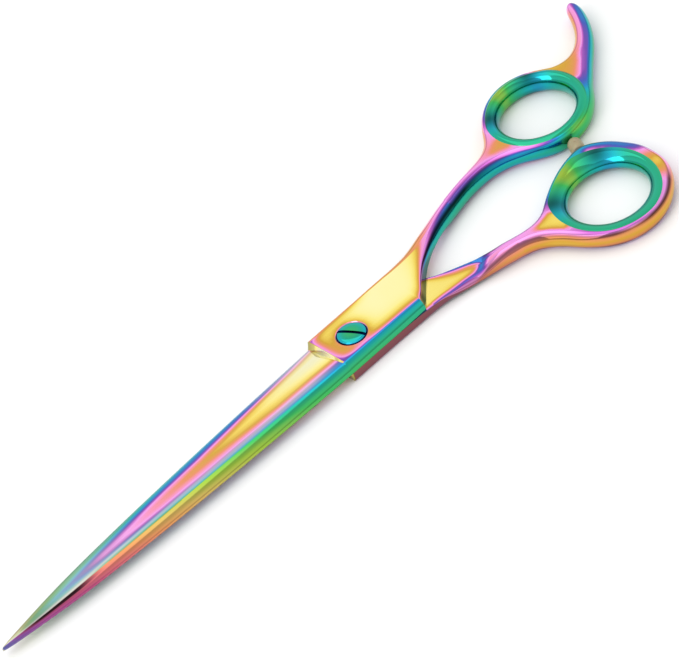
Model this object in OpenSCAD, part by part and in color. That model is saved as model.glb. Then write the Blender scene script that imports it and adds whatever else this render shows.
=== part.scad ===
// Straight hair shears with a plain upper blade, a toothed lower blade and a finger rest.
// +X runs from the pivot towards the rings, +Y towards the finger ring, +Z out of the screw head.
// The origin is on the pivot axis, in the plane of the underside on which the shears lie.
// Each sub-part is drawn about the plane where the halves meet, and is then lifted by half_t.

/* [Blades] */
// Distance from the pivot to the blade tips
blade_len = 124.6; // [110:0.2:130]
// Half the width of a blade where it meets the pivot block
blade_half_w = 8.1; // [7.6:0.1:8.4]
// Thickness of each half at the pivot block
half_t = 2.9; // [2.7:0.1:3.2]
// Gap between the two inner faces
ride_gap = 0.06; // [0.04:0.01:0.1]

/* [Thinning teeth] */
// Number of slots cut between the teeth of the lower blade
slot_count = 36; // [20:1:38]
// Distance from one slot to the next
slot_pitch = 2.3; // [2.2:0.05:2.4]
// Width of each slot
slot_w = 1.0; // [0.7:0.1:1.3]
// Share of the blade width that the slots cut into
slot_share = 0.5; // [0.35:0.05:0.55]

/* [Rings] */
// Radius of the opening of the finger ring
finger_r = 10.0; // [9.5:0.1:10.4]
// Radius of the opening of the thumb ring
thumb_r = 10.75; // [10.2:0.05:11.2]
// Height of the straight wall in the middle of each opening
land_h = 1.5; // [1:0.1:2]

/* [Pivot screw] */
// Radius of the screw head
head_r = 3.8; // [3.5:0.1:4.0]
// Width of the screwdriver slot
driver_slot_w = 0.9; // [0.7:0.1:1.2]
// Angle of the screwdriver slot from the X axis
driver_slot_angle = -63; // [-90:1:90]

/* [Stop bumper] */
// Radius of the soft stop between the rings
bumper_r = 2.0; // [1.9:0.05:2.3]

/* [Hidden] */
$fn = 64;

inner_z = ride_gap / 2;      // height of each inner face from the meeting plane
bar_t = half_t - 0.2;        // half thickness of the round shank
web_t = half_t - 0.4;        // half thickness of the flat web beside a ring

finger_pos = [82.1, 17.2];   // centre of the finger ring
thumb_pos = [71.65, 20.4];   // centre of the thumb ring, before its half is turned over
finger_wall = 2.2;           // half the radial width of the finger ring
thumb_wall = 2.9;            // half the radial width of the thumb ring
boss_angle = 69;             // direction from the thumb ring centre to the stop
boss_r = 6.4;                // radius of the swelling that carries the stop
boss_reach = 13.8;           // its distance from the thumb ring centre

block_start = -8.2;          // blade end of the pivot block
block_end = 17.9;            // shank end of the pivot block
facet_inner_x = 37;          // end of the flat inner face on the near side of the shank
facet_outer_x = 31;          // end of the flat inner face on its far side

shoulder_r = 2.45;           // smooth part of the screw that the upper half turns on
thread_r = 1.95;             // threaded part, as a plain cylinder on its mean line
head_seat_z = half_t - 1.0;  // floor of the recess under the screw head
washer_t = 0.3;              // thickness of the washer under the head
slide_t = 0.2;               // thickness of the washer between the halves
dome_h = 0.45;               // rise of the domed head

stem_r = 1.0;                // stem of the stop bumper
stem_len = 3.0;              // length of that stem inside the swelling
bumper_at = 22.6;            // distance from the thumb ring centre to the dome centre
bumper_foot = 2.6;           // height of the straight part below the dome

GOLD = [0.90, 0.78, 0.30];
TEAL = [0.10, 0.55, 0.48];
NYLON = [0.93, 0.92, 0.88];
SILICONE = [0.76, 0.68, 0.52];

// ---- outlines of the two halves, as seen from above: [distance along X, value] ----

// Sides of the pivot block and shank, the same on both halves
upper_bar = [[-8.2, 8.0], [12, 8.1], [18, 8.3], [24, 8.8], [28, 9.5], [32, 10.6], [36, 12.0], [42, 14.1]];
lower_bar = [[-8.2, -8.1], [17.9, -8.1], [18.4, -7.2], [20, -5.9], [24, -1.5], [28, 2.0], [32, 4.7],
             [36, 6.9], [42, 9.2]];
bar_level = [[-8, half_t], [28, half_t], [40, bar_t]];

// How each shank goes on and widens into its ring: [upper side, lower side, top, end]
FINGER = [
    concat(upper_bar, [[48, 15.6], [54, 16.7], [60, 17.6], [64, 18.9], [67, 21.3], [70, 25.2], [73, 28.6],
                       [78, 31]]),
    concat(lower_bar, [[48, 10.8], [54, 12.0], [58, 12.3], [62, 11.9], [66, 10.4], [70, 7.8], [74, 4.9],
                       [78, 3.6]]),
    concat(bar_level, [[60, bar_t], [70, web_t], [74, 1.9], [78, 1.0]]),
    78];
THUMB = [
    concat(upper_bar, [[46, 15.5], [49.5, 17.4], [52, 20.0], [54, 22.8], [57.6, 29.4], [60, 32], [64, 34.8]]),
    concat(lower_bar, [[46, 10.4], [50, 11.3], [53, 11.6], [56, 10.9], [59.6, 9.2], [64, 6.2]]),
    concat(bar_level, [[52, bar_t], [57, web_t], [60, 1.9], [64, 1.0]]),
    64];

// Rounding of the upper and lower sides
upper_round = [[-8, 0.6], [12, 0.7], [18, 1.1], [24, 2.0], [30, 2.8], [36, 2.5], [60, 2.4], [78, 2.2]];
lower_round = [[17.9, 2.2], [18.4, 0.5], [24, 0.9], [30, 1.7], [36, 2.5], [60, 2.4], [78, 2.2]];

// Smoothed reading of an outline, so that its corners become curves beyond the pivot block
function soft(x, table) =
    x < 19 ? lookup(x, table)
           : (lookup(x - 1.5, table) + 2 * lookup(x, table) + lookup(x + 1.5, table)) / 4;

// ---- cross-sections; each is a closed loop of [x, y, z] points ----

// Rise of the crowned spine band, as [share of its width, share of its height]
BAND = [[1, 1], [0.52, 0.86], [0.2, 0.62], [0.04, 0.3], [0, 0]];

// Half the width of the blade at a distance u from the tip, with u from 0 to 1
function half_w(u) = 0.35 + (blade_half_w - 0.35) * sqrt(u) * (1 + 0.4 * u * (1 - u));

// Upper side of the blade, from the cutting edge over the ridge to the spine
function blade_top(x) =
    let (u = (x + blade_len) / (blade_len + block_start),
         h = half_w(u),
         ridge = -h * (0.52 + 0.18 * u),
         top = 1.0 + (half_t - 1.1) * pow(u, 0.7),
         bevel = min(0.5 * h, 0.5 + 0.6 * sin(180 * sqrt(u)) * (1 - u)))
    concat([[h, inner_z], [h - bevel * 0.4, inner_z + bevel * 0.2], [h - bevel, inner_z + bevel * 0.36],
            [(h + ridge) / 2, inner_z + top * 0.56], [ridge + 0.12 * h, top * 0.94]],
           [for (b = BAND) [-h + (ridge + h) * b[0], inner_z + (top - inner_z) * b[1]]]);

// Upper side of the pivot block and the shank
function shank_top(x, half) =
    let (hi = soft(x, half[0]), lo = soft(x, half[1]), top = soft(x, half[2]),
         hi_in = soft(x, upper_round), lo_in = soft(x, lower_round), rise = top - inner_z)
    concat([for (a = [0, 24, 46, 68, 90]) [hi - hi_in * (1 - cos(a)), inner_z + rise * sin(a)]],
           [for (i = [0 : 4]) x < block_end + 0.1
                ? [lo + lo_in * BAND[i][0], inner_z + rise * BAND[i][1]]
                : [lo + lo_in * (1 - sin(22.5 * i)), inner_z + rise * cos(22.5 * i)]]);

// Share of the full round section that stands below the inner face at a point
function below(x, y, lo, hi) =
    let (start = facet_inner_x + (facet_outer_x - facet_inner_x) * (y - lo) / (hi - lo))
    min(1, max(0, (x - start) / 2.5));

function ring_of(x, top) =
    concat([for (p = top) [x, p[0], p[1]]],
           [for (i = [8 : -1 : 1])
                let (p = top[i], f = below(x, p[0], top[9][0], top[0][0]))
                [x, p[0], inner_z - f * (p[1] + inner_z)]]);

// Closed skin over a row of loops that all have the same number of points
module skin(loops) {
    n = len(loops[0]);
    last = len(loops) - 1;
    polyhedron(
        points = [for (loop = loops) each loop],
        faces = concat(
            [[for (i = [0 : n - 1]) (i + 5) % n]],
            [[for (i = [n - 1 : -1 : 0]) last * n + (i + 5) % n]],
            [for (s = [0 : last - 1]) for (i = [0 : n - 1])
                let (a = s * n + i, b = s * n + (i + 1) % n)
                [b, a, a + n, b + n]]),
        convexity = 6);
}

blade_x = [for (u = [0, 0.01, 0.03, 0.06, 0.1, 0.16, 0.24, 0.34, 0.46, 0.6, 0.74, 0.88, 0.99])
               -blade_len + u * (blade_len + block_start)];

function shank_x(end) =
    concat([block_start, 4, block_end, 18.4, 19.2], [for (x = [20.5 : 1.5 : 44]) x],
           [for (i = [1 : 12]) 44 + (end - 44) * i / 12]);

// Blade, pivot block and shank as one solid
module half_bar(half) {
    skin(concat([for (x = blade_x) ring_of(x, blade_top(x))],
                [for (x = shank_x(half[3])) ring_of(x, shank_top(x, half))]));
}

// Round-section ring with a straight wall in the middle of its opening
module handle_ring(opening_r, wall, outer_extra = 0) {
    mid = opening_r + wall;
    rotate_extrude($fn = 96)
        polygon(concat(
            [[opening_r, -land_h / 2], [opening_r, land_h / 2]],
            [for (a = [160 : -20 : 100]) [mid + wall * cos(a), land_h / 2 + (half_t - land_h / 2) * sin(a)]],
            [for (a = [90 : -18 : -90]) [mid + (wall + outer_extra) * cos(a), half_t * sin(a)]],
            [for (a = [100 : 20 : 160]) [mid + wall * cos(a), -land_h / 2 - (half_t - land_h / 2) * sin(a)]]));
}

// Finger rest: loops across a curved centre line, as [x, y, half width, half thickness]
TANG = [[92.5, 18.6, 8.2, 1.2], [95.2, 19.0, 6.9, 2.4], [97.6, 19.6, 5.2, 2.5], [100.2, 20.8, 3.7, 2.5],
        [103, 22.3, 2.8, 2.5], [106.1, 24.7, 2.35, 2.4], [108.9, 27.9, 2.15, 2.3], [111, 31.3, 2.05, 2.2],
        [112.7, 35, 1.95, 2.1], [113.4, 36.8, 1.4, 1.5], [113.7, 37.6, 0.5, 0.6]];

module finger_rest() {
    n = len(TANG);
    skin([for (i = [0 : n - 1])
        let (p = TANG[i], before = TANG[max(0, i - 1)], after = TANG[min(n - 1, i + 1)],
             dx = after[0] - before[0], dy = after[1] - before[1], d = norm([dx, dy]))
        [for (a = [0 : 22.5 : 337.5])
            [p[0] + p[2] * cos(a) * dy / d, p[1] - p[2] * cos(a) * dx / d, -p[3] * sin(a)]]]);
}

// Screw hole through the upper half, with the recess for the head and its washer
module upper_pivot_hole() {
    translate([0, 0, -1]) cylinder(r = shoulder_r + 0.05, h = half_t + 2);
    translate([0, 0, head_seat_z]) cylinder(r = head_r + 0.2, h = half_t);
    translate([0, 0, half_t - 0.35]) cylinder(r1 = head_r + 0.2, r2 = head_r + 0.75, h = 0.36);
}

// Threaded hole through the lower half, with the shallow seat for the washer between the halves
module lower_pivot_hole() {
    translate([0, 0, -half_t - 1]) cylinder(r = thread_r + 0.05, h = half_t + 2);
    translate([0, 0, -inner_z - slide_t + ride_gap - 0.02]) cylinder(r = 5.0, h = 1);
}

module at_thumb_ring() {
    translate([thumb_pos[0], -thumb_pos[1], 0]) children();
}

// Turns its children so that +Z points from the thumb ring centre to the stop
module along_stop() {
    at_thumb_ring() rotate([0, 90, boss_angle]) children();
}

module thinning_slots() {
    first = -blade_len + 12;
    for (i = [0 : slot_count - 1]) {
        x = first + i * slot_pitch;
        h = half_w((x + blade_len) / (blade_len + block_start));
        translate([x - slot_w / 2, -h - 1, -half_t - 1])
            cube([slot_w, 1 + 2 * h * slot_share, half_t + 2]);
    }
}

module finger_blade() color(GOLD) {
    difference() {
        union() {
            difference() {
                union() {
                    half_bar(FINGER);
                    finger_rest();
                }
                translate([finger_pos[0], finger_pos[1], -5]) cylinder(r = finger_r + finger_wall, h = 10);
            }
            translate([finger_pos[0], finger_pos[1], 0]) handle_ring(finger_r, finger_wall);
        }
        upper_pivot_hole();
    }
}

module thumb_blade() color(TEAL) {
    difference() {
        union() {
            difference() {
                union() {
                    rotate([180, 0, 0]) half_bar(THUMB);
                    at_thumb_ring() rotate([0, 0, boss_angle]) translate([boss_reach, 0, 0])
                        rotate_extrude() polygon([for (a = [-90 : 15 : 90])
                            [boss_r - 2.2 + 2.2 * cos(a), web_t * sin(a)]]);
                }
                at_thumb_ring() translate([0, 0, -5]) cylinder(r = thumb_r + thumb_wall, h = 10);
            }
            at_thumb_ring() handle_ring(thumb_r, thumb_wall);
        }
        lower_pivot_hole();
        along_stop() translate([0, 0, bumper_at - bumper_foot - stem_len]) cylinder(r = stem_r, h = 20);
        along_stop() translate([0, 0, bumper_at - bumper_foot]) cylinder(r = bumper_r, h = 20);
        thinning_slots();
    }
}

// Slotted screw: domed head, smooth shoulder and threaded end
module pivot_screw() color(TEAL) {
    seat = head_seat_z + washer_t;
    rim = half_t + 0.1;
    difference() {
        rotate_extrude()
            polygon(concat(
                [[0, -half_t], [thread_r - 0.3, -half_t], [thread_r, -half_t + 0.3],
                 [thread_r, -inner_z - slide_t], [thread_r, 0], [shoulder_r, 0], [shoulder_r, seat],
                 [head_r, seat], [head_r, rim]],
                [for (a = [15 : 15 : 75]) [head_r * cos(a), rim + dome_h * sin(a)]],
                [[0, rim + dome_h]]));
        rotate([0, 0, driver_slot_angle])
            translate([-head_r - 1, -driver_slot_w / 2, rim - 0.35]) cube([2 * head_r + 2, driver_slot_w, 2]);
    }
}

module head_washer() color(NYLON) {
    translate([0, 0, head_seat_z]) difference() {
        cylinder(r = head_r - 0.1, h = washer_t);
        translate([0, 0, -1]) cylinder(r = shoulder_r + 0.1, h = 2);
    }
}

module slide_washer() color(NYLON) {
    translate([0, 0, -slide_t + inner_z - 0.02]) difference() {
        cylinder(r = 4.9, h = slide_t);
        translate([0, 0, -1]) cylinder(r = shoulder_r + 0.1, h = 2);
    }
}

// Soft stop with a stem that is pressed into the swelling on the thumb ring
module stop_bumper() color(SILICONE) {
    along_stop() translate([0, 0, bumper_at]) rotate_extrude()
        polygon(concat(
            [[0, -bumper_foot - stem_len], [stem_r, -bumper_foot - stem_len], [stem_r, -bumper_foot]],
            [[bumper_r, -bumper_foot], [bumper_r, 0]],
            [for (a = [10 : 10 : 80]) [bumper_r * cos(a), bumper_r * sin(a)]],
            [[0, bumper_r]]));
}

module lifted() {
    translate([0, 0, half_t]) children();
}

lifted() finger_blade();
lifted() thumb_blade();
lifted() pivot_screw();
lifted() head_washer();
lifted() slide_washer();
lifted() stop_bumper();
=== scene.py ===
"""Looks of the thinning shears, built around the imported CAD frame."""

import math

import bmesh
import bpy
import numpy as np
from mathutils import Matrix, Vector
from mathutils.geometry import delaunay_2d_cdt


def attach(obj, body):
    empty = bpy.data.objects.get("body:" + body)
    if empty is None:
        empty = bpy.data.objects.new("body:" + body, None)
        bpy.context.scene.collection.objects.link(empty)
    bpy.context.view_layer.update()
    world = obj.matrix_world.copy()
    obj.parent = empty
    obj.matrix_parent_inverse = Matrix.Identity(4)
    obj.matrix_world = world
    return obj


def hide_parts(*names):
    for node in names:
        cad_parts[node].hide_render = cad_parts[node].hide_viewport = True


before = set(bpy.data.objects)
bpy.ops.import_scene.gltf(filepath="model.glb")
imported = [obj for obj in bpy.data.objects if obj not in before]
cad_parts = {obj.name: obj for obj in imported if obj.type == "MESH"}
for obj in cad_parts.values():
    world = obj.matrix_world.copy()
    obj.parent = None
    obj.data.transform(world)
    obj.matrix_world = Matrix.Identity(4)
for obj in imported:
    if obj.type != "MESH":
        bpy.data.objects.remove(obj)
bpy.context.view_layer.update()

MM = 0.001
INNER = 0.03        # height of each mating face, mm
BLOCK_TOP = 2.9     # top of the pivot block, mm
TIP = -124.6        # blade tip, mm
STEP = -8.2         # where the blade face rises to the pivot block, mm
BLOCK_END = 18.0    # where the spine band of the block stops, mm
SPINE_WIDTH = 8.1   # from the pivot axis to the spine of the block, mm
JOIN = 46.0         # where the lofted shank hands over to the handle, mm
WALL = 1.3          # least width left between a ring's rim and the outline, mm
LIFT = 2.9          # height of the meeting plane above the table, mm
LEAF_END = 36.4     # where the flat leaf of the shank meets the round bar, mm
RUN_OUT = 2.2       # how fast the bar gains its full thickness past the leaf, as a power
BOSS_ANGLE = 69     # direction of the soft stop from the thumb ring centre, degrees
STOP_AT = 22.6      # distance of the soft stop's dome from the thumb ring centre, mm
HEAD_R = 3.8        # radius of the screw head, mm
SHOULDER_R = 2.45   # radius of the screw's smooth shoulder, mm
SCREW_SLOT = -63    # direction of the screwdriver slot, degrees
TOOTH_SLOTS = 36    # slots between the thinning teeth
SLOT_PITCH = 2.3    # distance from one slot to the next, mm
SLOT_WIDTH = 1.0    # width of each slot, mm
FIRST_SLOT = 12.0   # distance of the first slot from the blade tip, mm
WELD = 2e-4         # grid on which points are welded, mm
SIDE_REACH = 2.2    # how far the rounding of the handle reaches in from its outline, mm
RIM_POINTS = 200    # points round each ring
OUTLINE_STEP = .5   # distance between points round the handle, mm
WEB_STEP = .7       # distance between points inside the flat webs, mm
CREASE = 24         # edges sharper than this stay sharp on the steel, degrees
SIDE = 12           # points across each rounded side
ARC = np.radians(np.linspace(0, 90, SIDE - 1))
AROUND = np.concatenate([[0], ARC])      # the angle up a side at each of its points, the foot first
SPAN = np.array([.02, .07, .15, .25, .38, .5, .62, .74, .84, .91, .96, .985])   # places across a flat
MIRROR = [1, 1, -1]                      # from the upper surface of the handle to the lower one


# ---------------------------------------------------------------- curves and tables

def natural(t, v):
    """Second derivatives of a natural cubic spline."""
    n, h = len(t), np.diff(t)
    a, b = np.eye(n), np.zeros(v.shape)
    for i in range(1, n - 1):
        a[i, i - 1:i + 2] = h[i - 1], 2 * (h[i - 1] + h[i]), h[i]
        b[i] = 6 * ((v[i + 1] - v[i]) / h[i] - (v[i] - v[i - 1]) / h[i - 1])
    return np.linalg.solve(a, b)


def curve(t, v, x):
    """Natural cubic spline through the points (t, v), read at x."""
    t, v = np.asarray(t, float), np.asarray(v, float)
    flat = v.ndim == 1
    v = v.reshape(len(t), -1)
    m = natural(t, v)
    x = np.clip(np.atleast_1d(x), t[0], t[-1])
    i = np.clip(np.searchsorted(t, x) - 1, 0, len(t) - 2)
    h = (t[i + 1] - t[i])[:, None]
    a = (t[i + 1] - x)[:, None] / h
    b = 1 - a
    out = a * v[i] + b * v[i + 1] + ((a ** 3 - a) * m[i] + (b ** 3 - b) * m[i + 1]) * h * h / 6
    return out[:, 0] if flat else out


def smooth(pairs, x):
    """Smooth curve through (place, value) pairs, read at x."""
    return curve(*zip(*pairs), x)[0]


def linear(pairs, x):
    """Straight stretches between (place, value) pairs, read at x."""
    return np.interp(x, *zip(*pairs))


def ease(x, a, b):
    """Rises from 0 at a to 1 at b, level at both ends."""
    t = np.clip((x - a) / (b - a), 0, 1)
    return t * t * (3 - 2 * t)


def mix(a, b, t):
    """a at t = 0, b at t = 1."""
    return a + (b - a) * t


def bump(x, at, width):
    """A soft bump, 1 high."""
    return np.exp(-((x - at) / width) ** 2)


def fading(distance, reach):
    """1 at a border, dying away with the distance from it."""
    return np.exp(-np.maximum(distance, 0) / reach)


def turn_between(a, b):
    """Angle between two directions, taken the short way round."""
    return np.abs((a - b + math.pi) % (2 * math.pi) - math.pi)


def averaged(rows):
    """Each row but the first and last, softened by its neighbours."""
    return (rows[:-2] + 2 * rows[1:-1] + rows[2:]) / 4


def grid_read(rows, qs, x, q):
    """Bilinear reading of (x, values) rows; the values lie at the rising places qs."""
    xs = np.array([at for at, _ in rows])
    columns = np.stack([np.interp(q, qs, values) for _, values in rows])
    x = np.clip(np.broadcast_to(x, np.shape(q)), xs[0], xs[-1])
    i = np.clip(np.searchsorted(xs, x) - 1, 0, len(xs) - 2)
    t = (x - xs[i]) / (xs[i + 1] - xs[i])
    pick = np.arange(len(q))
    return columns[i, pick] * (1 - t) + columns[i + 1, pick] * t


# ---------------------------------------------------------------- outlines of the halves, mm

# half the width of the blade, by the root of the share of its length from the tip
HALF_WIDTH = [(0, .3), (.288, 2.2), (.46, 4.1), (.62, 5.55), (.801, 6.95), (.93, 7.75), (1, 8.1)]
# where the ridge between the ground face and the spine band runs
RIDGE_Y = [(-124.6, -.12), (-118, -.8), (-108, -1.7), (-95, -2.5), (-80, -3.2), (-50, -4.3), (-8, -5.75),
           (18, -6.3)]
# section of the block and shank along X: top, then run and drop of the rounding on either side
SHANK_TOP = [(-8, BLOCK_TOP), (28, BLOCK_TOP), (40, 2.72), (46, 2.7)]
HI_RUN = [(-8, .7), (12, .8), (18, 1.1), (24, 1.9), (30, 2.5), (36, 2.45), (46, 2.2)]
HI_DROP = [(-8, .8), (14, .9), (24, 2.0), (32, 2.9)]
LO_RUN = [(18, .35), (24, .5), (30, 1.3), (36, 2.2), (46, 2.2)]
LO_DROP = [(18, .5), (24, .7), (30, 1.9), (36, 2.9)]
UNDER_RUN = [(20, .1), (30, .34), (37, .75), (46, 1)]        # share of HI_RUN on the under side

# outlines: hi is the outer edge, lo the inner edge of the shank, out the way round the handle;
# web, fade, side and glow are coating values (glow aims the ring's painted highlight), strip_hi and
# strip_lo the painted dark reflections along X
FINGER = dict(
    hi=[(-8.2, 8.1), (0, 8.1), (12, 8.15), (18, 8.35), (21, 8.55), (24, 8.9), (27, 9.35), (30, 10.0),
        (33, 10.95), (36, 12.0), (39, 13.1), (42, 14.1), (46, 15.15)],
    lo=[(18.0, -7.7), (18.7, -6.9), (20, -5.8), (22, -3.7), (24, -1.6), (26, .3), (28, 2.0), (30, 3.45),
        (32, 4.75), (34, 5.85), (36, 6.8), (39, 8.1), (42, 9.2), (46, 10.35)],
    level=[(46, 2.7), (58, 2.7), (68, 2.5), (98, 2.5), (106, 2.35), (115, 2.05)],
    centre=(82.1, 17.2), throat=10.0, rim_angle=57, rim=(0, 0, 13.4, 13.4),
    # outline of the handle: x, y, then the coating at its edge, half way up and at the top
    out=[(46, 15.15, .16, .39, .41), (50, 16.05, .16, .39, .41), (54, 16.75, .15, .37, .40),
         (58, 17.3, .14, .33, .38), (61, 17.85, .12, .28, .36), (63.5, 18.7, .12, .25, .30),
         (65.6, 20.1, .12, .25, .36), (67.4, 22.0, .12, .26, .40), (69.0, 24.1, .13, .30, .45),
         (71.0, 26.5, .14, .36, .52), (74.3, 29.3, .15, .4, .58), (78.0, 31.1, .17, .5, .7),
         (82.1, 31.75, .18, .6, .78), (86.2, 31.1, .18, .4, .80), (89.6, 29.5, .16, .3, .5),
         (92.2, 27.5, .14, .2, .22), (94.3, 25.7, .12, .15, .18), (96.6, 24.5, .12, .15, .19),
         (99.0, 24.1, .12, .16, .22), (101.6, 24.7, .12, .18, .30), (104.5, 26.5, .12, .2, .36),
         (107.1, 29.2, .13, .22, .38), (109.2, 32.3, .2, .24, .38), (110.9, 35.6, .3, .3, .38),
         (111.7, 37.2, .45, .4, .40), (112.9, 38.2, .62, .5, .42), (114.2, 38.0, .74, .62, .46),
         (114.9, 36.7, .78, .68, .52), (114.7, 34.3, .80, .70, .58), (113.1, 30.3, .82, .72, .60),
         (110.9, 26.6, .84, .70, .52), (108.0, 23.0, .84, .68, .49), (104.9, 19.9, .84, .66, .48),
         (102.2, 17.3, .84, .64, .48), (99.6, 14.6, .84, .66, .48), (97.0, 11.8, .84, .72, .56),
         (95.0, 9.3, .84, .80, .70), (92.7, 7.0, .85, .82, .78), (89.8, 4.9, .85, .84, .80),
         (86.2, 3.4, .84, .90, .86), (82.1, 2.75, .82, .90, .88), (78.3, 3.1, .80, .78, .70),
         (75.2, 4.4, .78, .70, .5), (72.3, 6.3, .77, .66, .42), (69.5, 8.35, .76, .64, .40),
         (66.6, 10.2, .76, .63, .40), (63.5, 11.5, .76, .63, .42), (60.3, 12.15, .76, .66, .44),
         (57, 12.25, .77, .70, .46), (53.5, 12.0, .78, .74, .48), (50, 11.35, .78, .75, .50),
         (46, 10.35, .78, .76, .50)],
    web=.185, fade=1.7, side=.17, glow=1.75,
    strip_hi=[(0, 0)],
    strip_lo=[(18, 0), (19, .95), (52, .97), (60, .6), (68, 0)])

THUMB = dict(
    hi=[(-8.2, 8.1), (0, 8.1), (12, 8.2), (18, 8.5), (21, 8.8), (24, 9.3), (27, 10.05), (31, 11.0),
        (34, 11.85), (37, 12.8), (40, 13.75), (43, 14.65), (46, 15.5)],
    lo=[(18.0, -7.7), (18.7, -6.9), (20, -5.8), (22, -3.7), (24, -1.6), (26, .2), (28, 1.65), (30, 2.75),
        (32, 3.8), (34, 4.8), (37, 6.3), (40, 7.75), (43, 9.1), (46, 10.25)],
    level=[(46, 2.7), (50, 2.7), (57, 2.6), (90, 2.6)],
    centre=(71.65, 20.4), throat=10.75, rim_angle=75, rim=(-.35, -.48, 14.15, 16.1),
    out=[(46, 15.5, .20, .31, .39), (48, 16.3, .20, .31, .39), (50, 17.7, .19, .30, .39),
         (52, 20.0, .18, .26, .42), (53.9, 23.0, .18, .26, .42), (55.6, 26.3, .18, .28, .44),
         (57.5, 29.2, .19, .30, .46), (60.3, 32.4, .20, .30, .46), (63.8, 35.0, .20, .29, .46),
         (67.6, 36.6, .20, .28, .46), (71.65, 37.2, .20, .28, .44), (75.8, 36.7, .19, .28, .42),
         (79.9, 35.1, .19, .30, .42), (83.6, 32.3, .18, .30, .42), (86.6, 28.6, .22, .36, .22),
         (88.4, 24.4, .32, .42, .13), (88.8, 20.0, .46, .48, .30), (88.5, 15.6, .54, .54, .54),
         (87.1, 11.6, .58, .56, .60), (84.9, 7.3, .60, .58, .62), (82.0, 4.0, .60, .58, .66),
         (79.6, 2.35, .58, .60, .66), (77.2, 1.9, .56, .60, .68), (74.8, 2.15, .58, .62, .70),
         (71.65, 3.0, .60, .64, .72), (68.4, 4.1, .64, .68, .74), (64.9, 5.75, .68, .70, .74),
         (61.6, 7.6, .66, .64, .66), (58.97, 9.3, .64, .52, .50), (57.0, 10.45, .62, .46, .42),
         (54.8, 11.25, .62, .44, .38), (52.5, 11.5, .62, .43, .38), (50, 11.25, .62, .42, .39),
         (46, 10.25, .62, .42, .40)],
    # the imaginary part of side is painted shade along the thumb's outer side
    web=.11, fade=.8, side=.30 + .72j, glow=-1.75,
    strip_hi=[(18, 0), (38, .5), (46, .7), (62, .75), (66, .3), (72, .8), (84, .8), (87, 0)],
    strip_lo=[(18, 0), (19, .8), (40, .6), (52, 0)])

# coating on the blade: distance along X, then its value from the cutting edge to the ridge
FACE_Q = (.03, .125, .22, .35, .50, .65, .80, .92, 1)
FACE_FILM = [
    (-124.6, (.95, .97, .97, .98, .98, .98, .98, .98, .98)),
    (-118, (.97, 1.0, .98, .97, .96, .95, .92, .92, .92)),
    (-112, (.90, .95, .92, .88, .82, .84, .82, .90, .90)),
    (-106, (.84, .92, .88, .80, .70, .72, .76, .88, .90)),
    (-100, (.82, .86, .82, .74, .57, .64, .72, .84, .88)),
    (-94, (.80, .82, .79, .62, .47, .54, .66, .80, .86)),
    (-88, (.78, .80, .74, .52, .41, .46, .62, .78, .84)),
    (-76, (.76, .74, .58, .42, .36, .40, .55, .74, .80)),
    (-64, (.72, .66, .50, .30, .28, .35, .48, .70, .76)),
    (-52, (.70, .61, .48, .22, .22, .32, .43, .65, .72)),
    (-40, (.66, .57, .34, .11, .14, .26, .42, .62, .70)),
    (-28, (.62, .50, .14, .06, .10, .17, .38, .60, .68)),
    (-16, (.58, .36, .04, .03, .05, .13, .38, .60, .66)),
    (-9, (.50, .16, .02, .02, .04, .08, .35, .58, .66))]
# coating on the spine band: distance along X, then its value from the ridge to the bottom
BAND_Q = (0, .35, .7, 1)
BAND_FILM = [
    (-124.6, (1.5, 1.5, 1.5, 1.5)), (-112, (1.28, 1.30, 1.32, 1.36)), (-100, (1.18, 1.20, 1.22, 1.28)),
    (-88, (1.08, 1.12, 1.15, 1.20)), (-76, (1.00, 1.03, 1.06, 1.10)), (-58, (.93, .94, .97, 1.0)),
    (-34, (.80, .85, .89, .91)), (-10, (.62, .74, .81, .85)), (18, (.59, .71, .78, .82))]


# ---------------------------------------------------------------- mesh assembly

class Skin:
    """Collects patches of points in mm, then welds them into one mesh.

    Each corner carries a coating value (real part) and a shade (imaginary part: 1 for painted shade and
    dark reflections, -1 for bare steel and painted highlights).
    """

    def __init__(self):
        self.points, self.faces, self.film = [], [], []

    def add(self, points, faces, film):
        """Adds points with one coating value each, and faces between them."""
        base = sum(len(p) for p in self.points)
        self.points.append(np.asarray(points, float))
        film = np.asarray(film, complex)
        for face in faces:
            self.faces.append([base + i for i in face])
            self.film.append([film[i] for i in face])

    def grid(self, points, film, closed=False):
        """Adds rows of points with quads between them; closed joins the last column to the first."""
        rows, cols = points.shape[:2]
        ids = np.arange(rows * cols).reshape(rows, cols)
        if closed:
            ids = np.column_stack([ids, ids[:, 0]])
        corners = ids[:-1, :-1], ids[:-1, 1:], ids[1:, 1:], ids[1:, :-1]
        self.add(points.reshape(-1, 3), np.stack(corners, -1).reshape(-1, 4).tolist(), film.reshape(-1))

    def box(self, xs, ys, zs, film):
        """A plain box between two values along each axis."""
        corners = [[x, y, z] for x in xs for y in ys for z in zs]
        sides = [(0, 1, 3, 2), (4, 6, 7, 5), (0, 4, 5, 1), (2, 3, 7, 6), (0, 2, 6, 4), (1, 5, 7, 3)]
        self.add(corners, sides, [film] * 8)

    def build(self, name):
        """Welds the patches and stores the coating and the shade on the corners."""
        points = np.concatenate(self.points)
        key = np.round(points / WELD).astype(np.int64)
        _, first, where = np.unique(key, axis=0, return_index=True, return_inverse=True)
        where = where.reshape(-1)
        faces, film, seen = [], [], set()
        for face, values in zip(self.faces, self.film):
            ids, vals = [], []
            for i, v in zip(face, values):
                j = int(where[i])
                if j not in ids:
                    ids.append(j)
                    vals.append(v)
            if len(ids) > 2 and frozenset(ids) not in seen:
                seen.add(frozenset(ids))
                faces.append(ids)
                film.extend(vals)
        mesh = bpy.data.meshes.new(name)
        mesh.from_pydata((points[first] * MM).tolist(), [], faces)
        for layer, values in (("film", np.real(film)), ("shade", np.imag(film))):
            corner_data = mesh.attributes.new(layer, "FLOAT", "CORNER").data
            corner_data.foreach_set("value", values.astype(np.float32))
        tidy(mesh)
        return mesh


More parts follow.
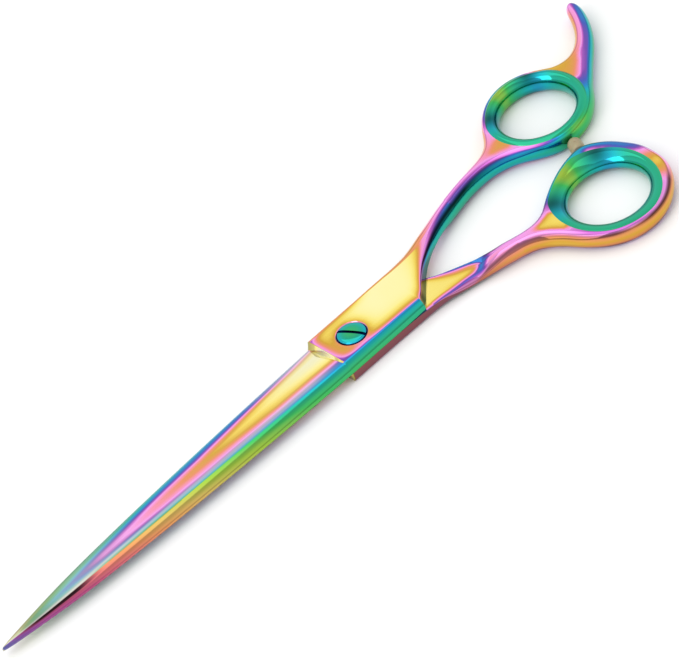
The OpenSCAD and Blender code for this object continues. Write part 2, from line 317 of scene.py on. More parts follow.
def tidy(mesh):
    """Turns all faces outwards."""
    bm = bmesh.new()
    bm.from_mesh(mesh)
    bmesh.ops.recalc_face_normals(bm, faces=bm.faces)
    bm.to_mesh(mesh)
    bm.free()
    mesh.update()


def link(name, mesh):
    """A new object in the scene."""
    obj = bpy.data.objects.new(name, mesh)
    bpy.context.scene.collection.objects.link(obj)
    return obj


def crisp(mesh, degrees):
    """Smooth shading, with edges sharper than the angle kept sharp."""
    for poly in mesh.polygons:
        poly.use_smooth = True
    mesh.set_sharp_from_angle(angle=math.radians(degrees))


def carve(obj, cutter):
    """Takes cutter away from obj and removes cutter."""
    mod = obj.modifiers.new("cut", "BOOLEAN")
    mod.operation, mod.solver, mod.object = "DIFFERENCE", "EXACT", cutter
    bpy.context.view_layer.update()
    done = bpy.data.meshes.new_from_object(obj.evaluated_get(bpy.context.evaluated_depsgraph_get()))
    obj.modifiers.clear()
    old, obj.data = obj.data, done
    bpy.data.meshes.remove(old)
    bpy.data.objects.remove(cutter)


def revolve(profile, film, steps=96):
    """A closed skin turned about Z from [radius, height] points that start and end on the axis."""
    skin = Skin()
    turn = np.linspace(0, 2 * math.pi, steps, endpoint=False)
    p = np.asarray(profile, float)
    points = np.stack([np.outer(p[:, 0], np.cos(turn)), np.outer(p[:, 0], np.sin(turn)),
                       np.repeat(p[:, 1:2], steps, 1)], -1)
    skin.grid(points, np.repeat(np.asarray(film, complex)[:, None], steps, 1), closed=True)
    return skin


# ---------------------------------------------------------------- the two halves

def rounded_side(edge, inward, top, run, drop, lean, foot):
    """Points up one side: foot on the mating face, then a rounding of the given run and drop."""
    y = [edge] + list(edge + inward * (lean + run * (1 - np.cos(ARC))))
    z = [foot] + list(top - drop + drop * np.sin(ARC))
    return np.array(y), np.array(z)


def crowned_band(edge, ridge, top, foot):
    """Points up the crowned spine band, from its bottom edge to the ridge."""
    a = np.radians(np.linspace(90, 17, SIDE))
    share = (1 - np.sin(a)) / (1 - math.sin(a[-1]))
    return edge + (ridge - edge) * share, foot + (top - foot) * np.cos(a) / math.cos(a[-1])


def blade_section(x):
    """y, z and coating across the blade, from the cutting edge over the ridge to the spine."""
    u = (x - TIP) / (STEP - TIP)                          # 0 at the tip, 1 at the step
    half_width = smooth(HALF_WIDTH, math.sqrt(max(0, u)))
    ridge = smooth(RIDGE_Y, x)
    top = .75 + 2.1 * u ** .62
    bevel = min(.45 * half_width, .55 + .6 * math.sin(math.pi * math.sqrt(max(u, 0))) * (1 - u))
    t = np.linspace(0, 1, SIDE)
    edge_y = half_width - bevel * t
    edge_z = INNER + .09 * t + (.26 + .16 * u) * bevel * t ** 1.15
    face_y = mix(edge_y[-1], ridge, SPAN)
    face_z = mix(edge_z[-1], top, SPAN ** .96) - .10 * u * np.sin(math.pi * SPAN)
    tipping = ease(-x, 90, 101) * ease(x, TIP, -112)
    band_y, band_z = spine_band(half_width, ridge, top, tipping)
    y = np.concatenate([edge_y, face_y, band_y[::-1]])
    z = np.concatenate([edge_z, face_z, band_z[::-1]])
    return y, z, blade_film(x, y, half_width, ridge, tipping)


def spine_band(half_width, ridge, top, tipping):
    """Spine band of the blade, with a narrow facet beside the ridge near the tip."""
    if tipping == 0:
        return crowned_band(-half_width, ridge, top, INNER)
    facet = tipping * min(1.3, .36 * (ridge + half_width))
    y, z = crowned_band(-half_width, ridge - facet, top - .28 * facet, INNER)
    share = np.arange(1, 4) / 3
    y[-3:] = mix(y[-4], ridge, share)
    z[-3:] = mix(z[-4], top, share)
    return y, z


def blade_film(x, y, half_width, ridge, tipping):
    """Coating across the blade at x."""
    share = (half_width - y) / (half_width - ridge)       # 0 at the cutting edge, 1 at the ridge
    # paler mid-face near the block, by the cutting edge and near the tip, with a painted highlight beside
    # the ridge; the .6 term paints a dark line of shade on the ridge itself
    bare_and_painted_light = (.5 * ease(x, -34, -10) * bump(share, .3, .22) + .3 * ease(-x, 70, 100)
            + .4 * ease(x, -40, -12) * ease(-share, -.14, -.06)
            + .55 * ease(-x, 5, 20) * bump(share, .87, .08))
    face = grid_read(FACE_FILM, FACE_Q, x, share) + 1j * (.6 * (share > .995) - bare_and_painted_light)
    band = grid_read(BAND_FILM, BAND_Q, x, np.clip((ridge - y) / (ridge + half_width), 0, 1))
    film = np.where(np.arange(len(y)) < 2 * SIDE, face, band)
    if tipping > 0:                                       # painted dark reflection on the facet, painted highlight on the ridge above it
        facet = slice(2 * SIDE, 2 * SIDE + 3)
        film[facet] = mix(film[facet], 1.2 + .97j, tipping)
        film[2 * SIDE - 3:2 * SIDE] -= .75j * tipping
    return film


def waist_height(x):
    """How far the widest line of the outer side lies from the mating plane."""
    return 1.25 * ease(x, 21, 31) * (1 - ease(x, 32, 42))


def block_section(x, half):
    """y and z across the pivot block or the shank, in the same order."""
    top = linear(SHANK_TOP, x)
    foot = INNER * (1 - ease(x, 30, 36))
    waist = foot + waist_height(x)
    drop = min(top - waist, linear(HI_DROP, x))
    hi_y, hi_z = rounded_side(smooth(half["hi"], x), -1, top, linear(HI_RUN, x), drop, 0, waist)
    if x <= BLOCK_END:
        lo_y, lo_z = crowned_band(-SPINE_WIDTH, smooth(RIDGE_Y, x), top, foot)
    else:
        lean = .75 * (1 - ease(x, 22, 33))
        drop = min(top - foot, linear(LO_DROP, x))
        lo_y, lo_z = rounded_side(smooth(half["lo"], x), 1, top, linear(LO_RUN, x), drop, lean, foot)
    y = np.concatenate([hi_y, mix(hi_y[-1], lo_y[-1], SPAN), lo_y[::-1]])
    z = np.concatenate([hi_z, np.full(len(SPAN), top), lo_z[::-1]])
    return y, z


def flat_film(x, y, hi_edge, lo_edge):
    """Coating on the flat top of the block: pale gold, redder near every edge and the screw."""
    film = .02 + .05 * ease(x, 20, 32)
    film = film + .46 * fading(y - lo_edge, 1.25) * (1 - .35 * ease(x, 14, 22))
    film = film + .22 * fading(hi_edge - y, .8) * (1 - ease(x, 4, 14))
    film = film + .22 * fading(np.hypot(x, y) - (HEAD_R + .2), 1.4)
    film = film + .42 * fading(x - STEP, 2.1)
    return np.minimum(film, .52)


def block_film(x, y, z, half):
    """Coating on top of the pivot block and shank at x."""
    k = np.arange(len(y))
    hi_edge, lo_edge = y[SIDE - 1], y[2 * SIDE]
    if x <= BLOCK_END:
        lo_side = grid_read(BAND_FILM, BAND_Q, x, np.clip((lo_edge - y) / 2.2, 0, 1))
    else:
        lo_side = np.interp(z, [0, 1.2, 1.9, 2.3, 2.9], [.76, .74, .66, .46, .41])
    hi_side = half["side"] + .10 * k / SIDE
    film = np.where(k < 2 * SIDE, flat_film(x, y, hi_edge, lo_edge), lo_side)
    film = np.where(k < SIDE, hi_side, film).astype(complex)
    if x > 30:                                        # towards the values the handle starts with
        first, last = half["out"][0][2:], half["out"][-1][2:]
        places = [0, SIDE / 2, SIDE - 1, 2 * SIDE, 2.5 * SIDE, 3 * SIDE - 1]
        film = mix(film, np.interp(k, places, first + last[::-1]), ease(x, 30, JOIN))
    # painted dark reflections along the rounded sides
    film[:SIDE] += 1j * linear(half["strip_hi"], x) * dark_strip(AROUND)
    film[2 * SIDE:] += 1j * linear(half["strip_lo"], x) * dark_strip(AROUND[::-1])
    if x > BLOCK_END:                                 # painted shade on the foot of the shank, next to the other half's leaf
        film[2 * SIDE:] += .85j * (1 - ease(x, 24, 36)) * bump(AROUND[::-1], 0, .3)
    return film


def dark_strip(a):
    """How dark the painted long reflection along a rounded side is, at the angle a up that side."""
    return np.exp(-((a - .86) / .32) ** 4)


def stations():
    """Places along X of the sections: blade, riser (as shares of its height), block and shank."""
    blade = list(np.linspace(0, 1, 90) ** 1.25 * (STEP - 2.4 - TIP) + TIP)
    step = list(np.linspace(0, 1, 8))
    block = list(np.linspace(STEP + .25, BLOCK_END, 34))
    shank = list(np.arange(BLOCK_END + .03, 20, .25)) + list(np.arange(20, JOIN - .2, .4)) + [JOIN]
    return blade, step, block, shank


def as_row(x, y, z):
    """One section as points; x is one value or one for each point."""
    return np.stack([np.broadcast_to(x, y.shape), y, z], -1)


def blade_row(x):
    """Blade at x: upper points, their coating and the heights of the under side."""
    y, z, film = blade_section(x)
    return as_row(x, y, z), film, np.full(len(y), INNER)


def riser_rows(half, steps):
    """The same for each step up the short riser that ends the ground face of the blade."""
    y0, z0, face_film = blade_section(STEP)
    y1, z1 = block_section(STEP, half)
    q = np.clip((y0[0] - y0) / (y0[0] - y0[2 * SIDE]), 0, 1)
    # bare steel riser with painted shade at its two ends and a painted highlight across its middle
    bare_and_painted_light = .07 + 1j * np.interp(q, [0, .18, .34, .65, 1], [.6, .4, -.8, -.4, .2])
    on_face = np.arange(len(q)) < 2 * SIDE
    rows = []
    for t in steps:
        row = as_row(STEP - mix(.75, .35, q) * (1 - t), mix(y0, y1, t ** 3), mix(z0, z1, t))
        rows.append((row, np.where(on_face & (t > 0), bare_and_painted_light, face_film), np.full(len(q), INNER)))
    return rows


def shank_row(x, half):
    """The same for the pivot block or the shank at x, with the rows slanted along the leaf."""
    width = 2 * SIDE + len(SPAN)
    slant = np.linspace(-3, 3, width) * ease(x, 24, 32) * (1 - ease(x, 38, JOIN))
    slant[0], slant[-1] = slant[1], slant[-2]
    sections = [block_section(x + d, half) for d in slant]
    y, z = (np.array([section[part][i] for i, section in enumerate(sections)]) for part in (0, 1))
    tip = leaf_tip(y)
    deep = 1 - (1 - np.clip((x - tip) / (JOIN - tip), 0, 1)) ** RUN_OUT
    low = INNER * (1 - ease(x + slant, 30, 36))
    outer = np.interp(np.arange(width), [SIDE - 1, 2 * SIDE], [1, 0])
    waist = outer * waist_height(x + slant) + low
    flank = low + (waist - low) * np.concatenate([1 - np.sin(AROUND), np.zeros(width - SIDE)])
    return as_row(x + slant, y, z), block_film(x, y, z, half), mix(flank, 2 * waist - z, deep)


def half_skin(half):
    """Closed skin of one half, lying with its mating face on z = 0."""
    blade, riser, block, shank = stations()
    rows = [blade_row(x) for x in blade] + riser_rows(half, riser)
    rows += [shank_row(x, half) for x in block + shank]
    top, film, under = (np.array(part) for part in zip(*rows))
    bottom = top.copy()
    bottom[:, 1:-1, 2] = under[:, 1:-1]
    row_x = np.array(blade + [STEP] * len(riser) + block + shank)[:, None]
    bottom[:, 1:SIDE, 1] = mix(top[:, :1, 1], top[:, 1:SIDE, 1], linear(UNDER_RUN, row_x))
    past = row_x - leaf_tip(top[:, :, 1])
    skin = Skin()
    skin.grid(top, film)
    skin.grid(bottom, mix(mating_film(bottom, row_x, past), film, ease(past, .2, 3)))
    skin.grid(np.stack([top[0], bottom[0]]), np.stack([film[0], film[0]]))
    handle(skin, half, top[-1])
    return skin


def leaf_tip(y):
    """Where the flat leaf ends along the shank, a round tip seen from above."""
    first, last = y[..., :1], y[..., -1:]
    return LEAF_END - 2.6 * (2 * (y - last) / (first - last) - 1) ** 4


def mating_film(bottom, row_x, past):
    """Coating on the flat mating face, up to the end of the leaf on the shank."""
    y = bottom[:, :, 1]
    corner = np.where(row_x > 20, y[:, SIDE - 1:SIDE], y[:, :1])
    rim = np.maximum(np.minimum(corner - y, y - y[:, -1:]), 0)
    ground = .05 + .17 * ease(-row_x, 10, 120) + .03 * ease(row_x, 0, 30)
    soft = mix(.45, .8, ease(row_x, 20, 30))
    out = ground + .5 * np.exp(-rim / soft) + .52 * fading(-past, .9)
    # painted shade on the foot of the flank beside the leaf
    flank = mix(.36 + .45j, .55, np.concatenate([np.sin(AROUND) ** 4, np.ones(y.shape[1] - SIDE)]))
    face = np.minimum(out, .6) - .3j * ease(-row_x, 0, 30) * (1 - np.exp(-rim / .8))
    return np.where((row_x > 20) & (np.arange(y.shape[1]) < SIDE), flank, face)


def inside(points, loop):
    """Which points lie inside a closed loop."""
    x, y = points[:, 0], points[:, 1]
    hit = np.zeros(len(points), bool)
    for (x1, y1), (x2, y2) in zip(loop, np.roll(loop, -1, 0)):
        cross = (y1 > y) != (y2 > y)
        if y1 != y2:
            hit ^= cross & (x < (x2 - x1) * (y - y1) / (y2 - y1) + x1)
    return hit


def nearest(points, others):
    """Distance from each point to the closest of the others, and which it is."""
    d = np.linalg.norm(points[:, None, :] - others[None, :, :], axis=2)
    return d.min(1), d.argmin(1)


def smooth_outline(half):
    """Points round the handle, their coating at the edge, half way up and on top, and their spacing."""
    rows = np.array(half["out"])
    t = np.concatenate([[0], np.cumsum(np.linalg.norm(np.diff(rows[:, :2], axis=0), axis=1))])
    s = np.linspace(0, t[-1], int(t[-1] / OUTLINE_STEP))
    line = curve(t, rows[:, :2], s)
    film = np.stack([np.interp(s, t, rows[:, i]) for i in (2, 3, 4)], -1)
    for _ in range(6):
        line[1:-1], film[1:-1] = averaged(line), averaged(film)
    return line, film, s[1]


def ring_rim(half, line):
    """Where the bevel of the ring meets its flat top, kept a wall's width inside the outline."""
    centre = np.array(half["centre"])
    ox, oy, ax, ay = half["rim"]
    turn = np.linspace(0, 2 * math.pi, RIM_POINTS, endpoint=False)
    rim = np.stack([ox + ax * np.cos(turn), oy + ay * np.sin(turn)], -1)
    full, way = np.hypot(*rim.T), np.arctan2(rim[:, 1], rim[:, 0])
    out = line - centre
    near = turn_between(np.arctan2(out[:, 1], out[:, 0])[None, :], way[:, None]) < .07
    radius = np.minimum(full, np.where(near, np.hypot(*out.T)[None, :], np.inf).min(1) - WALL)
    for _ in range(12):
        radius = np.minimum(radius, (np.roll(radius, 1) + 2 * radius + np.roll(radius, -1)) / 4)
    return centre + rim * (radius / full)[:, None]


def side_width(line, step, tangent, normal, rim):
    """How far the rounded side reaches in: less beside the rim, in tight bends and on thin parts."""
    heading = np.unwrap(np.arctan2(tangent[:, 1], tangent[:, 0]))
    bend = -np.gradient(heading) / step
    width = np.minimum(SIDE_REACH, nearest(line, rim)[0] - .04)
    width = np.minimum(width, .7 / np.maximum(bend, .01))         # stay short of the centre of a bend
    apart = np.linalg.norm(line[:, None] - line[None, :], axis=2)
    facing = normal @ normal.T < -.5
    width = np.minimum(width, .42 * np.where(facing, apart, np.inf).min(1))
    for _ in range(24):
        width[1:-1] = np.minimum(width[1:-1], averaged(width))
    return width


def outer_side(half, line, film3, step, rim, seam):
    """Layers of the rounded side from the mid plane to the top, their coating, and what lies at hi."""
    tangent = np.gradient(line, axis=0)
    tangent /= np.linalg.norm(tangent, axis=1)[:, None]
    normal = np.stack([tangent[:, 1], -tangent[:, 0]], -1)       # to the right of travel, inwards
    width = side_width(line, step, tangent, normal, rim)
    level = linear(half["level"], line[:, 0])
    from_seam = np.minimum(np.arange(len(line)), np.arange(len(line))[::-1]) * OUTLINE_STEP
    is_hi = np.arange(len(line)) < len(line) / 2
    straight = np.where(is_hi[:, None], [[0, -1]], [[0, 1]])
    inward = mix(straight, normal, ease(from_seam, 0, 6)[:, None])
    inward /= np.linalg.norm(inward, axis=1)[:, None]
    # painted dark reflections along the rounded side
    dark = np.where(is_hi, linear(half["strip_hi"], line[:, 0]), linear(half["strip_lo"], line[:, 0]))
    layer = np.zeros((SIDE, len(line), 3))
    film = np.zeros((SIDE, len(line)), complex)
    for k, a in enumerate(AROUND):
        layer[k, :, :2] = line + inward * (width * (1 - math.cos(a)))[:, None]
        layer[k, :, 2] = level * math.sin(a)
        values = [np.interp(a, [0, .8, 1.1, math.pi / 2], [low, middle, mix(middle, high, .85), high])
                  for low, middle, high in film3]
        film[k] = np.array(values) + 1j * dark * dark_strip(a)
    layer[:, 0], layer[:, -1] = seam[:SIDE], seam[::-1][:SIDE]
    return layer, film, is_hi


def web_spots(loop, rim):
    """Inner points for the flat webs between the outline and the rim, clear of both."""
    low, high = loop.min(0), loop.max(0)
    gx, gy = np.meshgrid(np.arange(low[0], high[0], WEB_STEP), np.arange(low[1], high[1], WEB_STEP))
    spots = np.stack([gx.ravel(), gy.ravel()], -1)
    spots = spots[inside(spots, loop) & ~inside(spots, rim)]
    clear = .45
    return spots[(nearest(spots, loop)[0] > clear) & (nearest(spots, rim)[0] > clear)]


def flat_top(half, edge, seam, rim):
    """Points and triangles between the outer side, the seam and the rim."""
    loop = np.concatenate([edge[:, :2], seam[:, :2]])
    spots = web_spots(loop, rim)
    n, m = len(loop), len(rim)
    edges = [(i, (i + 1) % n) for i in range(n)] + [(n + i, n + (i + 1) % m) for i in range(m)]
    flat = [Vector(p) for p in np.concatenate([loop, rim, spots])]
    found = delaunay_2d_cdt(flat, edges, [], 0, 1e-5, True)
    rim_z, spot_z = (linear(half["level"], places[:, 0]) for places in (rim, spots))
    solid = np.concatenate([edge, seam, np.column_stack([rim, rim_z]), np.column_stack([spots, spot_z])])
    points = solid[[ids[0] for ids in found[3]]]         # found[3]: the given points behind each vertex
    tris = [list(face) for face in found[2]]
    mids = np.array([points[face, :2].mean(0) for face in tris])
    keep = inside(mids, loop) & ~inside(mids, rim)
    return points, [face for face, ok in zip(tris, keep) if ok]


def web_film(half, points, edge, edge_film, is_hi, rim):
    """Coating on the flat top: the web's own value in wide places, its neighbours' near an edge."""
    spread = np.linalg.norm(points[:, None, :2] - edge[None, :, :2], axis=2)
    far = spread.min(1)
    weight = (spread ** 2 + .02) ** -1.5
    near_film = weight @ edge_film / weight.sum(1)
    across = spread[:, is_hi].min(1) + spread[:, ~is_hi].min(1)
    wide = ease(far + nearest(points[:, :2], rim)[0], .8, 2.3) * ease(across, 1.2, 3.5)
    return mix(mix(near_film, half["web"], wide), near_film, fading(far, half["fade"]))


def ring_bevel(half, rim):
    """The rounded inside of the ring, from its throat to the rim, and its coating."""
    cx, cy = half["centre"]
    last = math.radians(half["rim_angle"])
    psi = np.linspace(math.pi, last, 18)
    radius = np.hypot(rim[:, 0] - cx, rim[:, 1] - cy)
    unit = (rim - [cx, cy]) / radius[:, None]
    reach = (radius - half["throat"]) / (1 + math.cos(last))
    rim_z = linear(half["level"], rim[:, 0])
    bead = np.zeros((len(psi), len(rim), 3))
    for k, p in enumerate(psi):
        r = half["throat"] + reach * (1 + math.cos(p))
        bead[k, :, :2] = [cx, cy] + unit * r[:, None]
        bead[k, :, 2] = rim_z * math.sin(p) / math.sin(last)
    bead[-1, :, :2] = rim
    # glow aims a painted highlight where the coating turns a brighter green; patch is a painted dark
    # reflection beside it
    off = turn_between(np.arctan2(unit[:, 1], unit[:, 0]), half["glow"])
    wave = .77 + .14 * bump(off, 0, .33) - .09 * bump(off, .95, .3)
    patch = .75j * bump(off, .75, .25)
    rising = np.linspace(-.02, .03, len(psi))[:, None]
    return bead, wave[None, :] + rising + patch[None, :] * np.sin(psi)[:, None]


def handle(skin, half, seam):
    """Shank end, webs, ring and everything that grows out of it; seam is the last loft section."""
    line, film3, step = smooth_outline(half)
    rim = ring_rim(half, line)
    layer, film, is_hi = outer_side(half, line, film3, step, rim, seam)
    points, tris = flat_top(half, layer[-1], seam[SIDE:2 * SIDE][::-1], rim)
    web = web_film(half, points, layer[-1], film[-1], is_hi, rim)
    bead, ring_film = ring_bevel(half, rim)
    for side in (1, MIRROR):
        skin.grid(layer * side, film)
        skin.add(points * side, tris, web)
        skin.grid(bead * side, ring_film, closed=True)


# ---------------------------------------------------------------- materials

def srgb(colour):
    """Linear RGBA of a colour given in 0 to 255 steps."""
    parts = [v / 255 for v in colour]
    return tuple(v / 12.92 if v <= .04045 else ((v + .055) / 1.055) ** 2.4 for v in parts) + (1,)


# colour of the coating by its value, which follows the thickness of the film
RAINBOW = [
    (0.00, (252, 246, 190)), (0.06, (250, 236, 140)), (0.12, (240, 212, 96)), (0.20, (212, 164, 62)),
    (0.27, (232, 146, 104)), (0.34, (244, 148, 184)), (0.40, (242, 160, 232)), (0.45, (196, 104, 196)),
    (0.50, (122, 82, 172)), (0.56, (74, 96, 184)), (0.63, (44, 136, 196)), (0.70, (34, 172, 184)),
    (0.78, (44, 170, 136)), (0.86, (66, 180, 92)), (0.93, (150, 186, 66)), (1.00, (200, 172, 92)),
    (1.08, (216, 142, 92)), (1.16, (210, 112, 112)), (1.25, (180, 80, 122)), (1.40, (140, 80, 150)),
    (1.55, (74, 112, 170)), (1.70, (50, 160, 150)), (2.00, (130, 180, 120))]
FULL_FILM = 2       # coating value at the end of the ramp


def fill_ramp(node, stops):
    """Gives a colour ramp node its (position, linear colour) stops."""
    elements = node.color_ramp.elements
    while len(elements) < len(stops):
        elements.new(.5)
    for element, (at, colour) in zip(elements, stops):
        element.position, element.color = at, colour


class Nodes:
    """Short hand for building a node tree."""

    def __init__(self, name):
        self.mat = bpy.data.materials.new(name)
        self.mat.use_nodes = True
        self.tree = self.mat.node_tree
        self.bsdf = self.tree.nodes["Principled BSDF"]

    def new(self, kind, **settings):
        """A node with the given inputs or properties."""
        node = self.tree.nodes.new(kind)
        for key, value in settings.items():
            if key in node.inputs:
                node.inputs[key].default_value = value
            else:
                setattr(node, key, value)
        return node

    def link(self, a, b):
        """Joins an output to an input."""
        self.tree.links.new(a, b)

    def ramp(self, stops):
        """Colour ramp through (position, linear colour) stops."""
        node = self.new("ShaderNodeValToRGB")
        fill_ramp(node, stops)
        return node

    def math(self, op, a, b):
        """Result of a sum on two sockets or numbers."""
        node = self.new("ShaderNodeMath", operation=op)
        for i, v in enumerate((a, b)):
            if isinstance(v, (int, float)):
                node.inputs[i].default_value = v
            else:
                self.link(v, node.inputs[i])
        return node.outputs[0]

    def blend(self, amount, a, colour):
        """Mixes the colour socket a towards a plain colour."""
        node = self.new("ShaderNodeMix", data_type="RGBA")
        self.link(amount, node.inputs[0])
        self.link(a, node.inputs[6])
        node.inputs[7].default_value = srgb(colour)
        return node.outputs[2]

    def noise(self, scale, detail, stretch=None):
        """Noise in the piece's own coordinates, stretched along an axis if asked."""
        coords = self.new("ShaderNodeTexCoord").outputs["Object"]
        if stretch:
            mapping = self.new("ShaderNodeMapping")
            mapping.inputs["Scale"].default_value = stretch
            self.link(coords, mapping.inputs["Vector"])
            coords = mapping.outputs[0]
        node = self.new("ShaderNodeTexNoise", Scale=scale, Detail=detail)
        self.link(coords, node.inputs["Vector"])
        return node.outputs["Fac"]


def coating(name):
    """Polished steel with a rainbow interference coating read from the film attribute."""
    n = Nodes(name)
    film = n.new("ShaderNodeAttribute", attribute_name="film").outputs["Fac"]
    drift = n.math("MULTIPLY", n.math("SUBTRACT", n.noise(60, 2), .5), .035)
    value = n.math("DIVIDE", n.math("ADD", film, drift), FULL_FILM)
    ramp = n.ramp([(at / FULL_FILM, srgb(colour)) for at, colour in RAINBOW])
    n.link(value, ramp.inputs[0])
    # the shade attribute paints light onto the coating: darker for painted shade and dark reflections,
    # paler for bare steel and painted highlights
    shade = n.new("ShaderNodeAttribute", attribute_name="shade").outputs["Fac"]
    dark = n.blend(shade, ramp.outputs[0], DARK_REFLECTION)
    n.link(n.blend(n.math("MULTIPLY", shade, -1), dark, BARE_STEEL_AND_HIGHLIGHT), n.bsdf.inputs["Base Color"])
    n.bsdf.inputs["Metallic"].default_value = 1
    scratch = n.noise(900, 4, (.12, 1, 1))
    n.link(n.math("ADD", n.math("MULTIPLY", scratch, .10), .05), n.bsdf.inputs["Roughness"])
    bump = n.new("ShaderNodeBump", Strength=.03, Distance=.00002)
    n.link(scratch, bump.inputs["Height"])
    n.link(bump.outputs[0], n.bsdf.inputs["Normal"])
    return n.mat


def soft_plastic(name, light, dark, scale, rough, through=0.0):
    """Moulded plastic or silicone with a faint mottle."""
    n = Nodes(name)
    ramp = n.ramp([(0, srgb(dark)), (1, srgb(light))])
    mottle = n.noise(scale, 4)
    n.link(mottle, ramp.inputs[0])
    n.link(ramp.outputs[0], n.bsdf.inputs["Base Color"])
    n.link(n.math("ADD", n.math("MULTIPLY", mottle, .15), rough), n.bsdf.inputs["Roughness"])
    n.bsdf.inputs["Subsurface Weight"].default_value = through
    n.bsdf.inputs["Subsurface Scale"].default_value = .002
    bump = n.new("ShaderNodeBump", Strength=.1, Distance=.00005)
    n.link(mottle, bump.inputs["Height"])
    n.link(bump.outputs[0], n.bsdf.inputs["Normal"])
    return n.mat


# colours the shade mixes towards: a painted dark reflection and shade, and pale bare steel that also stands
# for painted highlights
DARK_REFLECTION = (8, 10, 16)
BARE_STEEL_AND_HIGHLIGHT = (218, 220, 212)
RAINBOW_STEEL = coating("rainbow_steel")
NYLON = soft_plastic("nylon", (238, 236, 226), (214, 212, 200), 1500, .35)
SILICONE = soft_plastic("silicone", (176, 164, 130), (132, 120, 88), 700, .22, .3)


# ---------------------------------------------------------------- pieces

def pivot_cutter():
    """Screw hole with the recess for the head, as a solid to take away."""
    hole, recess = SHOULDER_R + .05, HEAD_R + .2
    profile = [(0, -1), (hole, -1), (hole, 1.9), (recess, 1.9), (recess, 2.62), (recess + .08, 2.75),
               (recess + .32, 2.92), (recess + .32, 4), (0, 4)]
    # the recess floor and wall carry painted shade in their imaginary parts
    film = [.6, .6, .55 + .6j, .5 + .8j, .45 + .5j, .35, .30, .30, .30]
    return link("cutter", revolve(profile, film, 128).build("cutter"))


def drum_cutter(radius, low, high):
    """A plain cylinder on the pivot axis."""
    profile = [(0, low), (radius, low), (radius, high), (0, high)]
    return link("cutter", revolve(profile, [.6] * 4).build("cutter"))


def tooth_cutters():
    """The slots between the thinning teeth, one box each, from the middle of the blade outwards."""
    skin = Skin()
    for i in range(TOOTH_SLOTS):
        x = TIP + FIRST_SLOT + SLOT_PITCH * i
        edge = smooth(HALF_WIDTH, math.sqrt((x - TIP) / (STEP - TIP)))
        skin.box((x - SLOT_WIDTH / 2, x + SLOT_WIDTH / 2), (0, edge + 1), (-1, 4), .5)
    return link("cutter", skin.build("cutter"))


def steel_piece(obj, name, body, node):
    """Lifts a steel piece to its place above the table, names it, attaches it to its body, gives it its
    finish and hides the CAD node it replaces.
    """
    obj.data.transform(Matrix.Translation((0, 0, LIFT * MM)))
    obj.name = name
    obj.data.materials.clear()
    obj.data.materials.append(RAINBOW_STEEL)
    crisp(obj.data, CREASE)
    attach(obj, body)
    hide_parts(node)


def finger_half():
    """The upper half, with its hole and the recess for the screw head."""
    obj = link("finger", half_skin(FINGER).build("finger"))
    carve(obj, pivot_cutter())
    return obj


def thumb_half():
    """The lower half: hole for the screw's threaded end, seat of the slide washer and teeth, then turned
    face down.
    """
    obj = link("thumb", half_skin(THUMB).build("thumb"))
    carve(obj, drum_cutter(2.0, -1, 4))
    carve(obj, drum_cutter(5.0, -1, .19))
    carve(obj, tooth_cutters())
    obj.data.transform(Matrix.Rotation(math.pi, 4, "X"))
    return obj


def pivot_screw():
    """Domed, slotted head on a smooth shoulder, with a threaded end."""
    rim = [(HEAD_R - .18, 2.2), (HEAD_R - .02, 2.3), (HEAD_R, 2.45), (HEAD_R, 2.9)]
    edge = [(HEAD_R - .3 * (1 - math.cos(a)), 2.9 + .2 * math.sin(a)) for a in np.radians([20, 40, 60, 80])]
    dome = [(3.45 * math.cos(a), 3.08 + .36 * math.sin(a)) for a in np.radians(np.arange(4, 90, 6))]
    thread, pitch = [], .35
    for i in range(7):
        z = -2.6 + pitch * i
        thread += [(1.82, z), (1.95, z + .12), (1.95, z + .2), (1.82, z + pitch)]
    shoulder = [(1.95, -.1), (SHOULDER_R, 0), (SHOULDER_R, 2.2)]
    profile = [(0, -2.9), (1.65, -2.9)] + thread + shoulder + rim + edge + dome + [(0, 3.44)]
    film = [.84 - .16 * (r / HEAD_R) ** 2 for r, _ in profile]
    obj = link("screw", revolve(profile, film, 128).build("screw"))
    half_slot, slot_floor = .45, 2.62
    skin = Skin()
    # the slot's walls and floor carry painted shade (.8j)
    skin.box((-5, 5), (-half_slot, half_slot), (slot_floor, 5), .62 + .8j)
    cutter = link("cutter", skin.build("cutter"))
    cutter.data.transform(Matrix.Rotation(math.radians(SCREW_SLOT), 4, "Z"))
    carve(obj, cutter)
    bevel = obj.modifiers.new("edge", "BEVEL")
    bevel.width, bevel.segments = .06 * MM, 2
    bevel.limit_method, bevel.angle_limit = "ANGLE", math.radians(50)
    return obj


def bumper():
    """Soft bead on a short foot, with a stem in the swelling of the thumb ring."""
    r, foot = 1.95, -3.1
    profile = [(0, foot - 2.8), (.9, foot - 2.8), (1, foot - 2.6), (1, foot)]
    profile += [(1.7, foot), (1.85, foot + .12), (r, foot + .4), (r, -.2)]
    profile += [(r * math.cos(a), r * math.sin(a)) for a in np.radians(np.arange(0, 90, 6))]
    profile.append((0, r))
    obj = link("bead", revolve(profile, [.2] * len(profile), 64).build("bead"))
    a = math.radians(BOSS_ANGLE)
    cx, cy = THUMB["centre"]
    x, y = cx + STOP_AT * math.cos(a), -cy + STOP_AT * math.sin(a)
    place = Matrix.Translation((x * MM, y * MM, LIFT * MM))
    lie_down = Matrix.Rotation(math.pi / 2, 4, "Y")
    obj.data.transform(place @ Matrix.Rotation(a, 4, "Z") @ lie_down)
    obj.data.materials.append(SILICONE)
    crisp(obj.data, 40)
    return obj


steel_piece(finger_half(), "finger_half_steel", "finger_half", "finger_blade")
steel_piece(thumb_half(), "thumb_half_steel", "thumb_half", "thumb_blade")
steel_piece(pivot_screw(), "slotted_pivot_screw", "screw", "pivot_screw")

bead = bumper()
bead.name = "soft_stop_bead"
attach(bead, "thumb_half")
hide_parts("stop_bumper")

